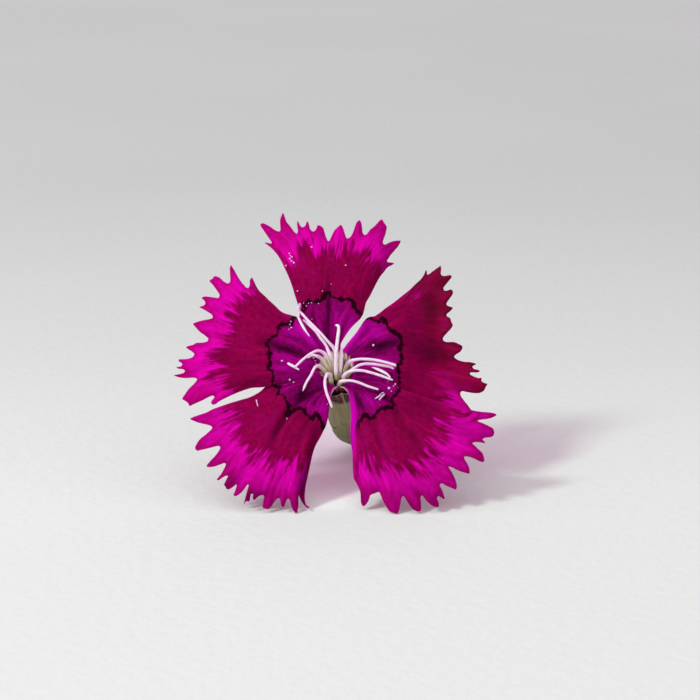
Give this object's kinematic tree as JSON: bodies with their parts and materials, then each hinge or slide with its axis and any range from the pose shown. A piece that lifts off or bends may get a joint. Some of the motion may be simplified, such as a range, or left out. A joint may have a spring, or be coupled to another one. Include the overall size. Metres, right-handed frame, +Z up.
{
  "type": "carnation blossom",
  "caption": "Picked single blossom of a pink with toothed petals, curling stamens, a hooked pistil, a calyx tube with bracts and a short cut stalk.",
  "frame": {"origin": "on the surface that the blossom lies on, under the middle of its bounding box", "axes": "+Z up; the blossom's face looks towards -Y and 40 degrees up, and its cut stalk points towards +Y and down; +X is to the right as the face is seen"},
  "size_m": [0.0342, 0.026, 0.0277],
  "materials": {
    "petal": "matte",
    "filament": "satin",
    "style": "satin",
    "calyx": "matte",
    "bract": "matte",
    "stalk": "matte"
  },
  "bodies": {
    "root": {"petal_top": "petal", "petal_upper_right": "petal", "petal_lower_right": "petal", "petal_lower_left": "petal", "petal_left": "petal", "stamen_1": "filament", "stamen_2": "filament", "stamen_3": "filament", "stamen_4": "filament", "stamen_5": "filament", "stamen_6": "filament", "stamen_7": "filament", "stamen_8": "filament", "stamen_9": "filament", "stamen_10": "filament", "pistil": "style", "calyx": "calyx", "bract_left": "bract", "bract_right": "bract", "bract_upper": "bract", "bract_lower": "bract", "stalk": "stalk"}
  },
  "joints": []
}
